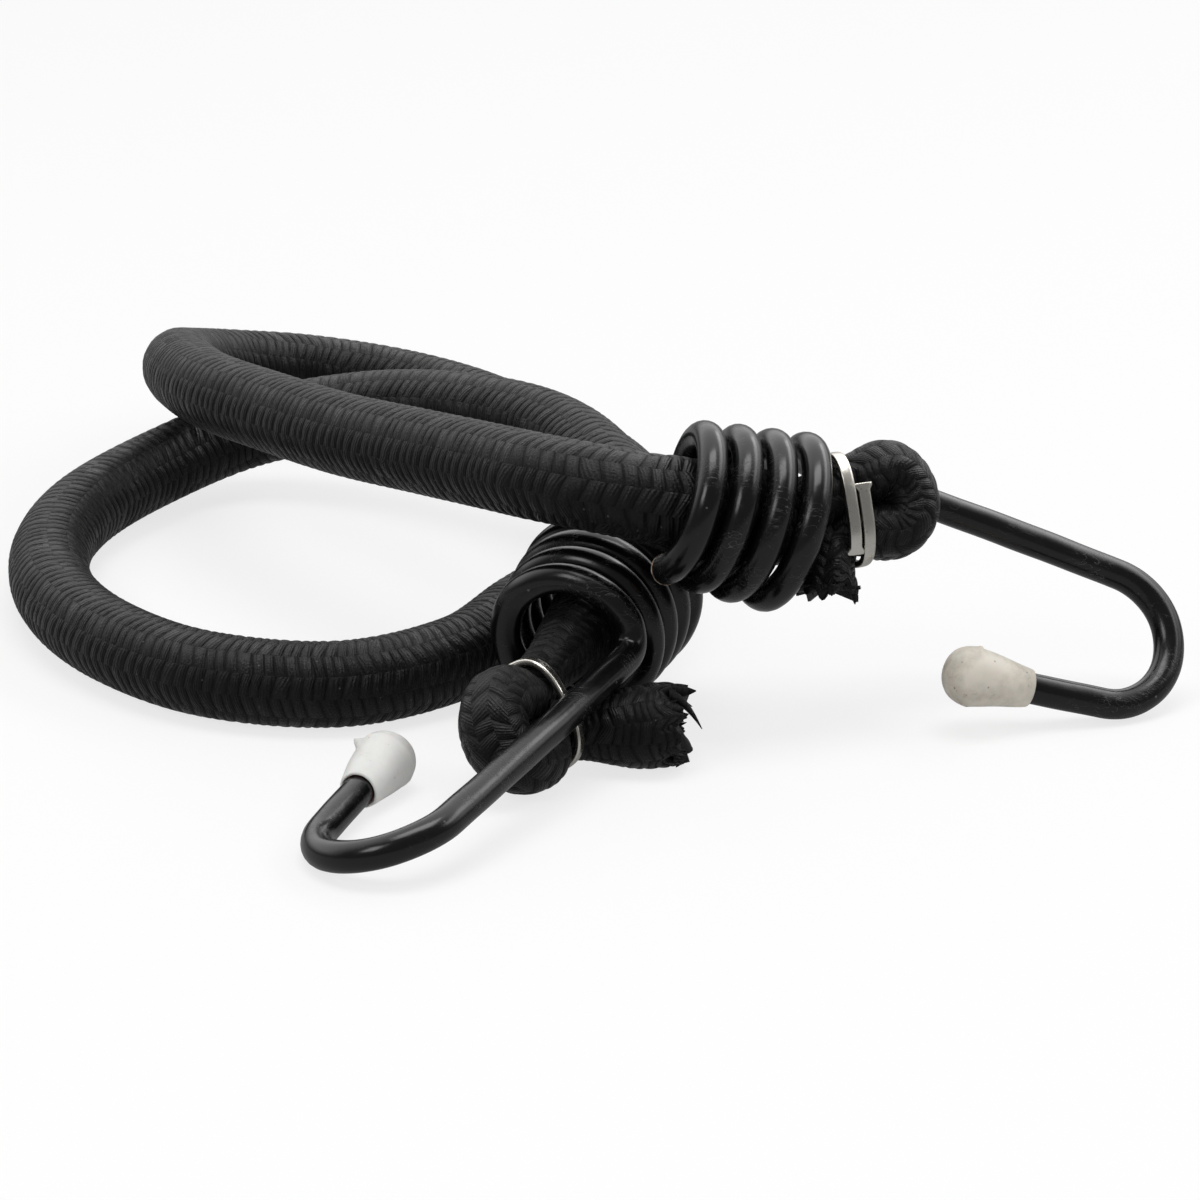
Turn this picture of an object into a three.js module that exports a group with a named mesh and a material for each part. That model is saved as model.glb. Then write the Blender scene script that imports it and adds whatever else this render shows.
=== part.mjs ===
import * as THREE from 'three';

// A bungee cord: a rubber core in a braided sheath, folded back at both ends
// and clamped there by a hog ring. A wire hook is wound round each end, with
// a soft cap on its tip. Millimetres, +Z up, lying on the plane z = 0.

// Cord
const cordDiameter = 10;
const sheathWall = 0.09 * cordDiameter;
const coreClearance = 0.3;
const cordSides = 12;
const cordSteps = 64;
const cutClearance = 0.3;

// Hook wire: coil, shank, bend and tip
const wireDiameter = 3.6;
const wireSides = 8;
const rightCoilTurns = 3.57;
const leftCoilTurns = 4.07;
const coilPitch = 4.1;
const stepsPerTurn = 24;
const rightMouthRadius = 8.9;
const rightRearRadius = 7.8;
const leftMouthRadius = 8.2;
const leftRearRadius = 9.2;
const cornerLength = 3;
const cornerPull = 2;
const shankLength = 42;
const shankBowRadius = 625;
const shankLean = THREE.MathUtils.degToRad(8.1);
const hookTwist = THREE.MathUtils.degToRad(9.2);
const bendRadius = 8.2;
const bendAngle = THREE.MathUtils.degToRad(170);
const tipLength = 16.4;

// Cap on the tip
const capLength = 10.5;
const capDiameter = 7;
const capMouthDiameter = 4.8;
const capClearance = 0.2;
const capDomeLength = 3.4;
const capWall = 3.1;
const capSides = 20;

// Hog rings: flat wire bent round both strands, its ends lapped
const ringWidth = 1.1;
const ringThickness = 0.8;
const ringLap = 2;
const ringHeadWidth = 1.9;
const ringHalfHeight = 0.595 * cordDiameter + ringThickness / 2;
const ringHalfDepth = 0.41 * cordDiameter + ringThickness / 2;
const ringSquareness = 2.8;
const ringSteps = 44;
const ringSweep = THREE.MathUtils.degToRad(423);
const rightRingStart = THREE.MathUtils.degToRad(134);
const leftRingStart = THREE.MathUtils.degToRad(-46);

// Places of the two coil mouths, and how each hook is turned
const rightMouth = [4.1, 17.2, 24.35];
const rightTurn = [13.7, 15.3, 43.1];
const leftMouth = [-21.8, 13.2, 10.8];
const leftTurn = [-108.6, 6.25, 6.84];

// Turn of each fold about its coil, from the side where the shank starts
const rightFoldTurn = THREE.MathUtils.degToRad(27.2);
const leftFoldTurn = THREE.MathUtils.degToRad(-63.7);

// Route of the cord from the right hook's coil to the left one's
const cordRoute = [
  [-1.9, 15.8, 25.8], [-11, 13.6, 28.3], [-17.9, 14, 29.6], [-24.9, 18.3, 29.6],
  [-30.7, 25, 28.7], [-39.2, 35.3, 27.2], [-49.2, 47.3, 25.5], [-58.7, 60.8, 24],
  [-67.2, 74.3, 22.5], [-72.2, 89.8, 20], [-74.7, 105.8, 16.5], [-74.7, 119.8, 12.5],
  [-69.7, 130.8, 9], [-59.7, 136.8, 6.5], [-47.7, 134.8, 5.2], [-36.7, 125.8, 5.1],
  [-27.2, 113.3, 5], [-18.7, 100.3, 5], [-13.7, 85.3, 5], [-14.2, 69.3, 5],
  [-20, 54.3, 5], [-27.7, 39.8, 5], [-35, 25.3, 5], [-47.7, 16.8, 5],
  [-63.7, 19.8, 5], [-76.2, 30.8, 5], [-84.2, 45.3, 5], [-87.2, 61.3, 5.1],
  [-85.2, 77.3, 5.3], [-77.7, 92.3, 6], [-65.2, 100.8, 9], [-49.7, 97.3, 13],
  [-36.2, 88.8, 15.5], [-24.7, 77.3, 16.5], [-17.7, 62.8, 16], [-14.2, 46.8, 14.5],
  [-15.6, 31.1, 12.9], [-19.6, 19.1, 11.5],
];

// Route of each folded end, in shares of the cord's diameter: along the coil
// from its mouth, across in the fold's plane, out of that plane; then half the
// squeezed strand's height and depth there
const rightFoldShares = [
  [-0.6, 0, 0, 0.49, 0.49], [-0.3, 0, 0, 0.48, 0.48], [-0.02, 0.12, 0.09, 0.41, 0.42],
  [0.18, 0.34, 0.22, 0.3, 0.36], [0.37, 0.51, 0.27, 0.245, 0.33], [0.6, 0.68, 0.28, 0.295, 0.4],
  [0.86, 0.77, 0.31, 0.34, 0.43], [1.11, 0.66, 0.32, 0.34, 0.43], [1.22, 0.41, 0.32, 0.34, 0.43],
  [1.11, 0.15, 0.32, 0.34, 0.43], [0.86, 0.05, 0.3, 0.325, 0.41], [0.7, 0.01, 0.27, 0.27, 0.36],
  [0.55, -0.04, 0.24, 0.225, 0.31], [0.42, -0.15, 0.24, 0.225, 0.3], [0.36, -0.33, 0.27, 0.28, 0.4],
  [0.36, -0.54, 0.27, 0.33, 0.43], [0.39, -0.76, 0.27, 0.37, 0.45],
];
const leftFoldShares = [
  [-0.6, 0, 0, 0.48, 0.48], [-0.3, 0, 0, 0.44, 0.44], [0.1, -0.01, -0.03, 0.37, 0.38],
  [0.5, -0.03, -0.06, 0.31, 0.35], [0.88, -0.04, -0.1, 0.265, 0.33], [1.15, -0.02, -0.13, 0.25, 0.315],
  [1.42, -0.14, -0.11, 0.31, 0.37], [1.7, -0.25, -0.11, 0.365, 0.4], [1.99, -0.16, -0.14, 0.365, 0.4],
  [2.12, 0.14, -0.17, 0.36, 0.4], [1.99, 0.43, -0.14, 0.365, 0.4], [1.7, 0.52, -0.11, 0.36, 0.39],
  [1.46, 0.51, -0.13, 0.29, 0.35], [1.27, 0.52, -0.14, 0.245, 0.31], [1.1, 0.57, -0.1, 0.28, 0.33],
  [0.94, 0.69, 0.09, 0.35, 0.38], [0.81, 0.86, 0.34, 0.42, 0.43], [0.69, 1.03, 0.61, 0.46, 0.47],
  [0.6, 1.17, 0.86, 0.49, 0.49], [0.55, 1.26, 1.02, 0.51, 0.5],
];
const foldSteps = 40;
const foldSides = 10;

const rightRingPlaceShares = [0.46, 0.24, 0.28];
const leftRingPlaceShares = [1.21, 0.25, -0.14];
const rightRingTilt = THREE.MathUtils.degToRad(20);
const leftRingTilt = THREE.MathUtils.degToRad(-14);

const vec = (p) => new THREE.Vector3(p[0], p[1], p[2]);

// Closed skin over rings of points, each ring going round the same way; a
// second set of rings inside makes it a hollow sleeve open at both ends
function skin(outer, inner) {
  const sides = outer[0].length;
  const points = outer.flat();
  const faces = [];
  const quad = (a, b, c, d) => faces.push(a, b, c, a, c, d);
  const wall = (base, count, flip) => {
    for (let i = 0; i + 1 < count; i++) {
      for (let j = 0; j < sides; j++) {
        const k = (j + 1) % sides;
        const a = base + i * sides + j;
        const b = base + i * sides + k;
        const c = base + (i + 1) * sides + k;
        const d = base + (i + 1) * sides + j;
        if (flip) quad(a, d, c, b);
        else quad(a, b, c, d);
      }
    }
  };
  wall(0, outer.length, false);
  const lastOuter = (outer.length - 1) * sides;
  if (inner) {
    const base = points.length;
    points.push(...inner.flat());
    wall(base, inner.length, true);
    const lastInner = base + (inner.length - 1) * sides;
    for (let j = 0; j < sides; j++) {
      const k = (j + 1) % sides;
      quad(j, base + j, base + k, k);
      quad(lastOuter + j, lastOuter + k, lastInner + k, lastInner + j);
    }
  } else {
    for (let j = 1; j + 1 < sides; j++) {
      faces.push(0, j + 1, j);
      faces.push(lastOuter, lastOuter + j, lastOuter + j + 1);
    }
  }
  const geometry = new THREE.BufferGeometry();
  geometry.setFromPoints(points);
  geometry.setIndex(faces);
  geometry.computeVertexNormals();
  return geometry;
}

// Ring of points round a station: y and z are its cross directions
function ringAt(station, halfY, halfZ, sides, phase = 0) {
  const ring = [];
  for (let j = 0; j < sides; j++) {
    const angle = phase + (2 * Math.PI * j) / sides;
    ring.push(station.point.clone()
      .addScaledVector(station.y, halfY * Math.cos(angle))
      .addScaledVector(station.z, halfZ * Math.sin(angle)));
  }
  return ring;
}

// The cord's free stretch, its cross section kept upright so that it lies
// flat on the ground
class UprightCurve extends THREE.CatmullRomCurve3 {
  computeFrenetFrames(segments) {
    const up = new THREE.Vector3(0, 0, 1);
    const frames = { tangents: [], normals: [], binormals: [] };
    for (let i = 0; i <= segments; i++) {
      const tangent = this.getTangentAt(i / segments).normalize();
      const normal = new THREE.Vector3().crossVectors(up, tangent).normalize();
      frames.tangents.push(tangent);
      frames.normals.push(normal);
      frames.binormals.push(new THREE.Vector3().crossVectors(tangent, normal));
    }
    return frames;
  }
}

function polygon(across, sides) {
  const outline = [];
  const radius = across / 2 / Math.cos(Math.PI / sides);
  for (let j = 0; j < sides; j++) {
    const angle = (2 * Math.PI * (j + 0.5)) / sides;
    outline.push(new THREE.Vector2(radius * Math.cos(angle), radius * Math.sin(angle)));
  }
  return outline;
}

const boreDiameter = cordDiameter - 2 * sheathWall;
const coreDiameter = boreDiameter - 2 * coreClearance;
const cordCurve = new UprightCurve(cordRoute.map(vec), false, 'centripetal');
const alongCord = { steps: cordSteps, extrudePath: cordCurve };

const sheathShape = new THREE.Shape(polygon(cordDiameter, cordSides));
sheathShape.holes.push(new THREE.Path(polygon(boreDiameter, cordSides).reverse()));
const sheathGeometry = new THREE.ExtrudeGeometry(sheathShape, alongCord);
const coreGeometry = new THREE.ExtrudeGeometry(
  new THREE.Shape(polygon(coreDiameter, cordSides)), alongCord);

// Folded end: one strand out of the coil, a tight turn, the tail clamped
// beside it and cut off short
function foldStations(shares) {
  const places = shares.map((row) => vec(row).multiplyScalar(cordDiameter));
  const curve = new THREE.CatmullRomCurve3(places, false, 'centripetal');
  const halves = new THREE.CatmullRomCurve3(
    shares.map((row) => new THREE.Vector3(row[3], row[4], 0)), false, 'centripetal');
  const out = new THREE.Vector3(0, 0, 1);
  const stations = [];
  for (let i = 0; i <= foldSteps; i++) {
    const t = i / foldSteps;
    const tangent = curve.getTangent(t).normalize();
    const y = new THREE.Vector3().crossVectors(out, tangent).normalize();
    const z = new THREE.Vector3().crossVectors(tangent, y);
    const half = halves.getPoint(t).multiplyScalar(cordDiameter);
    stations.push({ point: curve.getPoint(t), y, z, halfY: half.x, halfZ: half.y });
  }
  return stations;
}

function foldRings(stations, inset) {
  return stations.map((s) =>
    ringAt(s, s.halfY - inset, s.halfZ - inset, foldSides, Math.PI / foldSides));
}

function foldSheath(shares) {
  const stations = foldStations(shares);
  return skin(foldRings(stations, 0), foldRings(stations, sheathWall));
}

function foldCore(shares) {
  return skin(foldRings(foldStations(shares), sheathWall + coreClearance));
}

// Hook: x runs along the coil towards the hook, y to where the shank starts
const shankAlong = new THREE.Vector3(Math.cos(shankLean), -Math.sin(shankLean), 0);
const bendSide = new THREE.Vector3(-Math.sin(shankLean), -Math.cos(shankLean), 0)
  .applyAxisAngle(shankAlong, hookTwist);

function hookPoints(coilTurns, mouthRadius, rearRadius) {
  const points = [];
  const full = 2 * Math.PI * coilTurns;
  const cornerTurn = cornerLength / mouthRadius;
  const coilPoint = (angle) => {
    const radius = THREE.MathUtils.lerp(mouthRadius, rearRadius, angle / full);
    return new THREE.Vector3(-coilPitch * angle / (2 * Math.PI),
      radius * Math.cos(angle), radius * Math.sin(angle));
  };
  const coilSteps = Math.round(coilTurns * stepsPerTurn);
  for (let i = 0; i <= coilSteps; i++) {
    points.push(coilPoint(THREE.MathUtils.lerp(full, cornerTurn, i / coilSteps)));
  }
  const coilEnd = points[points.length - 1];
  const coilAlong = coilPoint(0).sub(coilEnd).normalize();
  const shankStart = new THREE.Vector3(0, mouthRadius, 0);
  const along = (travel, side) => shankStart.clone()
    .addScaledVector(shankAlong, travel).addScaledVector(bendSide, side);
  const cornerEnd = along(cornerLength, 0);
  const corner = new THREE.CubicBezierCurve3(coilEnd,
    coilEnd.clone().addScaledVector(coilAlong, cornerPull),
    cornerEnd.clone().addScaledVector(shankAlong, -cornerPull), cornerEnd);
  points.push(...corner.getPoints(6).slice(1));
  let travel = 0;
  let side = 0;
  let heading = 0;
  const bow = (length) => length / shankBowRadius;
  for (let i = 1; i <= 6; i++) {
    const length = THREE.MathUtils.lerp(cornerLength, shankLength, i / 6);
    travel = shankBowRadius * Math.sin(bow(length));
    side = shankBowRadius * (1 - Math.cos(bow(length)));
    heading = bow(length);
    points.push(along(travel, side));
  }
  const centreTravel = travel - bendRadius * Math.sin(heading);
  const centreSide = side + bendRadius * Math.cos(heading);
  const start = heading;
  for (let i = 1; i <= 14; i++) {
    heading = start + bendAngle * i / 14;
    travel = centreTravel + bendRadius * Math.sin(heading);
    side = centreSide - bendRadius * Math.cos(heading);
    points.push(along(travel, side));
  }
  const bendEnd = points[points.length - 1];
  const tipAlong = along(Math.cos(heading), Math.sin(heading)).sub(shankStart);
  const tipEnd = bendEnd.clone().addScaledVector(tipAlong, tipLength);
  points.push(bendEnd.clone().lerp(tipEnd, 1 / 2), tipEnd);
  return { points, tipEnd, tipAlong, coilCount: coilSteps + 1 };
}

function wireSkin(points) {
  const stations = [];
  const across = new THREE.Vector3();
  for (let i = 0; i < points.length; i++) {
    const before = points[Math.max(i - 1, 0)];
    const after = points[Math.min(i + 1, points.length - 1)];
    const tangent = after.clone().sub(before).normalize();
    if (i === 0) across.set(1, 0, 0);
    across.addScaledVector(tangent, -across.dot(tangent)).normalize();
    const y = across.clone();
    stations.push({ point: points[i], y, z: new THREE.Vector3().crossVectors(tangent, y) });
  }
  const radius = wireDiameter / 2;
  return skin(stations.map((s) => ringAt(s, radius, radius, wireSides, Math.PI / wireSides)));
}

function leastCoilGap(hook) {
  let least = Infinity;
  for (let i = 0; i < hook.coilCount; i++) {
    for (let j = i + Math.round(stepsPerTurn / 2); j < hook.coilCount; j++) {
      least = Math.min(least, hook.points[i].distanceTo(hook.points[j]) - wireDiameter);
    }
  }
  return least;
}

// Cap: a thick soft sleeve with a round end, its bore on the wire
function capGeometry() {
  const boreRadius = wireDiameter / 2 + capClearance;
  const domeStart = capLength - capDomeLength;
  const profile = [new THREE.Vector2(0, capLength)];
  const widest = capDiameter / 2;
  for (let i = 1; i <= 6; i++) {
    const angle = (Math.PI / 2) * (i / 6);
    profile.push(new THREE.Vector2(widest * Math.sin(angle),
      domeStart + capDomeLength * Math.cos(angle)));
  }
  profile.push(new THREE.Vector2(capMouthDiameter / 2, 0));
  profile.push(new THREE.Vector2(boreRadius, 0));
  profile.push(new THREE.Vector2(boreRadius, capLength - capWall));
  profile.push(new THREE.Vector2(0, capLength - capWall));
  return new THREE.LatheGeometry(profile.reverse(), capSides);
}

// Hog ring: flat wire that goes more than once round both strands
function hogRing(start) {
  const outer = [];
  for (let i = 0; i <= ringSteps; i++) {
    const share = i / ringSteps;
    const angle = start - ringSweep * share;
    const x = THREE.MathUtils.lerp(-ringLap / 2, ringLap / 2, share);
    const squared = (value, power) => Math.sign(value) * Math.abs(value) ** power;
    const cos = squared(Math.cos(angle), 2 / ringSquareness);
    const sin = squared(Math.sin(angle), 2 / ringSquareness);
    const head = i < 2 || i > ringSteps - 2;
    const station = {
      point: new THREE.Vector3(x, ringHalfHeight * cos, ringHalfDepth * sin),
      y: new THREE.Vector3(-1, 0, 0),
      z: new THREE.Vector3(0, squared(cos, ringSquareness - 1) / ringHalfHeight,
        squared(sin, ringSquareness - 1) / ringHalfDepth).normalize(),
    };
    const width = head ? ringHeadWidth : ringWidth;
    outer.push(ringAt(station, width / Math.SQRT2, ringThickness / Math.SQRT2, 4, Math.PI / 4));
  }
  return skin(outer);
}

const paint = (color, roughness, metalness) =>
  new THREE.MeshStandardMaterial({ color, roughness, metalness });
const sheathPaint = paint(0x1d1e20, 0.7, 0);
const rubberPaint = paint(0x8f8672, 0.9, 0);
const wirePaint = paint(0x232426, 0.35, 0.1);
const capPaint = paint(0xe9e6dc, 0.5, 0);
const zincPaint = paint(0xc9c9c4, 0.35, 0.9);

function named(name, geometry, material) {
  const mesh = new THREE.Mesh(geometry, material);
  mesh.name = name;
  return mesh;
}

function cordEnd(side, place, turn, foldTurn, shares, ringShares, ringTilt, ringStart, coil) {
  const end = new THREE.Group();
  end.position.copy(vec(place));
  end.rotation.set(...turn.map(THREE.MathUtils.degToRad).reverse(), 'ZYX');
  const hook = hookPoints(...coil);
  console.log(`${side} coil: least gap between turns ${leastCoilGap(hook).toFixed(2)} mm`);
  end.add(named(`${side}_hook`, wireSkin(hook.points), wirePaint));
  const cap = named(`${side}_cap`, capGeometry(), capPaint);
  cap.position.copy(hook.tipEnd)
    .addScaledVector(hook.tipAlong, -(capLength - capWall - cutClearance));
  cap.quaternion.setFromUnitVectors(new THREE.Vector3(0, 1, 0), hook.tipAlong);
  end.add(cap);
  const fold = new THREE.Group();
  fold.rotation.x = foldTurn;
  fold.add(named(`${side}_fold_sheath`, foldSheath(shares), sheathPaint));
  fold.add(named(`${side}_fold_core`, foldCore(shares), rubberPaint));
  const ring = named(`${side}_ring`, hogRing(ringStart), zincPaint);
  ring.position.copy(vec(ringShares).multiplyScalar(cordDiameter));
  ring.rotation.z = ringTilt;
  fold.add(ring);
  end.add(fold);
  return end;
}

const bungee = new THREE.Group();
bungee.add(named('cord_sheath', sheathGeometry, sheathPaint));
bungee.add(named('cord_core', coreGeometry, rubberPaint));
bungee.add(cordEnd('right', rightMouth, rightTurn, rightFoldTurn, rightFoldShares,
  rightRingPlaceShares, rightRingTilt, rightRingStart,
  [rightCoilTurns, rightMouthRadius, rightRearRadius]));
bungee.add(cordEnd('left', leftMouth, leftTurn, leftFoldTurn, leftFoldShares,
  leftRingPlaceShares, leftRingTilt, leftRingStart,
  [leftCoilTurns, leftMouthRadius, leftRearRadius]));

export default bungee;
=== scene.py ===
# %% [markdown]
# # A bungee cord with two wire hooks
# A stretchy cord lies in a double loop on a table. Each end is folded back and
# clamped by a ring, which makes a knot, and a wire hook is wound round the cord
# behind that knot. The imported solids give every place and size. This notebook
# makes the braid, the knots, the wire, the soft caps and the rings over them.

# %% Load the solids
import math

import bpy
import numpy as np
from mathutils import Matrix, Vector


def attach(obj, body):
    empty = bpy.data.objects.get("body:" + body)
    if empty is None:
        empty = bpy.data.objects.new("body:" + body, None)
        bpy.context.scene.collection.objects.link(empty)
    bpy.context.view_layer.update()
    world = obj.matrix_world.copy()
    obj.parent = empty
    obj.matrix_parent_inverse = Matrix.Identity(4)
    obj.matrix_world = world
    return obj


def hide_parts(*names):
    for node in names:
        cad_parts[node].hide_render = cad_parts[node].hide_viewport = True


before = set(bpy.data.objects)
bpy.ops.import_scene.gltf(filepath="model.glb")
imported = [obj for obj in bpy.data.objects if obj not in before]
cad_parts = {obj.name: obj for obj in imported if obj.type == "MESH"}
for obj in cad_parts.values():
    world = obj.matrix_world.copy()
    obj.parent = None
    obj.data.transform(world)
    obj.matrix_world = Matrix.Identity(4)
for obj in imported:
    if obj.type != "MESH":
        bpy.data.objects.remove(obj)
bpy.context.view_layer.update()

MM = 0.001
rng = np.random.default_rng(7)
print("nodes", sorted(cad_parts))

# %% [markdown]
# The camera stands low in front of the cord and looks a little down on it.
# A long lens keeps the two hooks the same size on the picture, as it would be
# with a photographer who stands half a metre away.


# %% Camera
def aim(thing, target):
    away = Vector(target) - thing.location
    thing.rotation_euler = away.to_track_quat("-Z", "Y").to_euler()
    bpy.context.scene.collection.objects.link(thing)


camera_data = bpy.data.cameras.new("camera")
camera_data.lens, camera_data.sensor_width = 126, 36
camera_data.clip_start, camera_data.clip_end = 0.01, 20
camera = bpy.data.objects.new("camera", camera_data)
camera.location = (-0.0182, -0.4364, 0.1802)
aim(camera, (-0.0182, 0.0588, 0))
bpy.context.scene.camera = camera
print("camera", tuple(camera.location))

# %% [markdown]
# A curve through points could be drawn with a curve object, but then its
# sides couldn't carry a braid of their own. So the line is worked out here:
# a spline that passes through every point, walked in equal steps, with a
# direction along it at each step.


# %% Lines through points
def spline(points, count):
    points = np.asarray(points, float)
    last = len(points) - 1
    line = []
    for t in np.linspace(0, last, count):
        i = min(int(t), last - 1)
        w = t - i
        p1, p2 = points[i], points[i + 1]
        p0 = points[i - 1] if i else 2 * p1 - p2
        p3 = points[i + 2] if i + 2 <= last else 2 * p2 - p1
        d0, d1, d2 = (max(np.linalg.norm(q - p), 1e-9) ** 0.5
                      for p, q in ((p0, p1), (p1, p2), (p2, p3)))
        m1 = ((p1 - p0) / d0 - (p2 - p0) / (d0 + d1) + (p2 - p1) / d1) * d1
        m2 = ((p2 - p1) / d1 - (p3 - p1) / (d1 + d2) + (p3 - p2) / d2) * d1
        line.append(p1 + m1 * w + (3 * (p2 - p1) - 2 * m1 - m2) * w**2
                    + (2 * (p1 - p2) + m1 + m2) * w**3)
    return np.array(line)


def lengths(line):
    steps = np.linalg.norm(np.diff(line[:, :3], axis=0), axis=1)
    return np.concatenate([[0], np.cumsum(steps)])


def even(line, count):
    run = lengths(line)
    at = np.linspace(0, run[-1], count)
    return np.stack([np.interp(at, run, column) for column in line.T], 1)


def unit(v):
    return v / np.linalg.norm(v, axis=-1, keepdims=True)


def along(line):
    return unit(np.gradient(line, axis=0))


def level_frame(line):
    ahead = along(line)
    side = unit(np.cross([0, 0, 1], ahead))
    return side, np.cross(ahead, side)


# %% [markdown]
# Every long piece is a skin over rings of points, as a sleeve is knitted ring
# by ring. One helper makes the mesh and closes its ends. It can keep a pair of
# numbers at each corner, which later tell the material where on the braid that
# corner lies.


# %% Skins over rings
def piece_of(name, points, faces):
    mesh = bpy.data.meshes.new(name)
    mesh.from_pydata(points.tolist(), [], faces)
    mesh.polygons.foreach_set("use_smooth", np.ones(len(faces), bool))
    mesh.update()
    piece = bpy.data.objects.new(name, mesh)
    bpy.context.scene.collection.objects.link(piece)
    return piece


def quads_of(n, m):
    i, j = np.meshgrid(np.arange(n - 1), np.arange(m), indexing="ij")
    k = (j + 1) % m
    corners = [i * m + j, i * m + k, (i + 1) * m + k, (i + 1) * m + j]
    return i, j, np.stack(corners, -1).reshape(-1, 4)


def skin(name, rings, marks=None, mark_turn=None):
    n, m = rings.shape[:2]
    i, j, quads = quads_of(n, m)
    faces = quads.tolist()
    for a in range(m):
        b = (a + 1) % m
        faces.append([n * m, b, a])
        faces.append([n * m + 1, (n - 1) * m + a, (n - 1) * m + b])
    points = np.vstack([rings.reshape(-1, 3), rings[0].mean(0), rings[-1].mean(0)])
    piece = piece_of(name, points, faces)
    if marks is not None:
        wrapped = np.concatenate([marks, marks[:, :1] + np.array(mark_turn)], 1)
        corner = np.stack([wrapped[i, j], wrapped[i, j + 1], wrapped[i + 1, j + 1],
                           wrapped[i + 1, j]], -2).reshape(-1, 2)
        rest = np.zeros(((len(faces) - len(quads)) * 3, 2))
        layer = piece.data.uv_layers.new(name="strands")
        layer.data.foreach_set("uv", np.vstack([corner, rest]).ravel())
    return piece


def round_angles(count):
    return 2 * math.pi * np.arange(count) / count


def rings_of(line, side, up, half_side, half_up, around):
    angle = round_angles(around)
    half_side = np.broadcast_to(half_side, (len(line), around))
    half_up = np.broadcast_to(half_up, (len(line), around))
    return (line[:, None] + side[:, None] * (half_side * np.cos(angle))[..., None]
            + up[:, None] * (half_up * np.sin(angle))[..., None])


# %% [markdown]
# The sheath is braided, so its visible stitches stand in rows along the cord,
# and they lean one way in a row and the other way in the next. With the rubber
# at rest the braid is pushed together, and the stitches crowd into fine ribs
# across the cord. Round the knots it is stretched, and they open into flat
# patches. One rule shapes the mesh here and the fine bump of the material
# later. It takes two marks: how many ribs along, and how many rows round.

# %% The braid's height
ROWS = 12
RIB = 1.5 * MM
ROW_SHIFT, STITCH_FILL, ROW_DIP = 0.25, 1.96, 0.24
MIDDLE_HEIGHT = 0.72
CORD_LEAN, CORD_WANDER = 0.38, 0.18
KNOT_LEAN, KNOT_WANDER = 0.42, 0.32
CORD_RELIEF, KNOT_RELIEF = 0.2 * MM, 0.18 * MM
LUMP, LUMP_SHORT, LUMP_LONG = 0.16 * MM, 1.7 * MM, 4.1 * MM


def braid_height(along_ribs, round_rows, lean, wander):
    row = np.floor(round_rows)
    across = round_rows - row
    way = 1 - 2 * np.mod(row, 2)
    phase = (along_ribs + lean * way * (across - 0.5) + ROW_SHIFT * way
             + wander * (np.sin(1.3 * along_ribs + 2.1 * row)
                         + 1.2 * np.sin(0.31 * along_ribs - 1.7 * row)))
    off = phase - np.round(phase)
    arch = np.sqrt(np.clip(1 - (STITCH_FILL * off)**2, 0, 1))
    tucked = np.sqrt(np.sin(math.pi * np.clip(across, 0.01, 0.99)))
    return arch * (1 - ROW_DIP + ROW_DIP * tucked)


def braided(name, line, side, up, half_side, half_up, around, rib, relief, lean, wander,
            torn=0):
    run = lengths(line)[:, None]
    ribs = np.cumsum(np.diff(run[:, 0], prepend=0) / rib)[:, None] * np.ones(around)
    share = np.arange(around) / around + np.zeros((len(line), 1))
    height = relief * (braid_height(ribs, ROWS * share + 1e-6, lean, wander) - MIDDLE_HEIGHT)
    tear = 0
    if torn:
        angle = round_angles(around)
        height += LUMP * (np.sin(run / LUMP_SHORT + 3 * angle)
                          * np.sin(run / LUMP_LONG - 2 * angle + 1))
        ragged = torn * (0.45 * np.sin(3 * angle + 1) + 0.3 * np.sin(7 * angle) - 0.4
                         + 0.35 * np.sin(12 * angle + 2) + rng.uniform(-0.2, 0.2, around))
        near_end = np.clip((run - run[-1] + 3 * torn) / (3 * torn), 0, 1)**2
        tear = unit(line[-1] - line[-4]) * (near_end * ragged)[..., None]
    rings = tear + rings_of(line, side, up, half_side[:, None] + height,
                            half_up[:, None] + height, around)
    piece = skin(name, rings, np.stack([ribs, ROWS * share], -1), (0, ROWS))
    print(name, "length %.0f mm," % (run[-1, 0] / MM), len(piece.data.polygons), "faces")
    return piece


# %% [markdown]
# The free cord leaves the right hook's coil, swings back and round, and comes
# home along the table into the left hook's coil. Its whole length shows in the
# picture, so that is its length. It is soft and lies under its own weight. It
# starts a little fuller, beside its own fold in the right coil, and its ribs
# are pushed closer together round the tight bend in front.

# %% The free cord
CORD = 10 * MM
route = MM * np.array([
    [-1.9, 15.8, 25.8], [-11, 13.6, 28.3], [-17.9, 14, 29.6], [-24.9, 18.3, 29.6],
    [-30.7, 25, 28.7], [-39.2, 35.3, 27.2], [-49.2, 47.3, 25.5], [-58.7, 60.8, 24],
    [-67.2, 74.3, 22.5], [-72.2, 89.8, 20], [-74.7, 105.8, 16.5], [-74.7, 119.8, 12.5],
    [-69.7, 130.8, 9], [-59.7, 136.8, 6.5], [-47.7, 134.8, 5.2], [-36.7, 125.8, 5.1],
    [-27.2, 113.3, 5], [-18.7, 100.3, 5], [-13.7, 85.3, 5], [-14.2, 69.3, 5],
    [-20, 54.3, 5], [-27.7, 39.8, 5], [-35, 25.3, 5], [-47.7, 16.8, 5],
    [-63.7, 19.8, 5], [-76.2, 30.8, 5], [-84.2, 45.3, 5], [-87.2, 61.3, 5.1],
    [-85.2, 77.3, 5.3], [-77.7, 92.3, 6], [-65.2, 100.8, 9], [-49.7, 97.3, 13],
    [-36.2, 88.8, 15.5], [-24.7, 77.3, 16.5], [-17.7, 62.8, 16], [-14.2, 46.8, 14.5],
    [-15.6, 31.1, 12.9], [-19.6, 19.1, 11.5]])
FRONT_BEND = 23
BEND_REACH = 30 * MM
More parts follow.
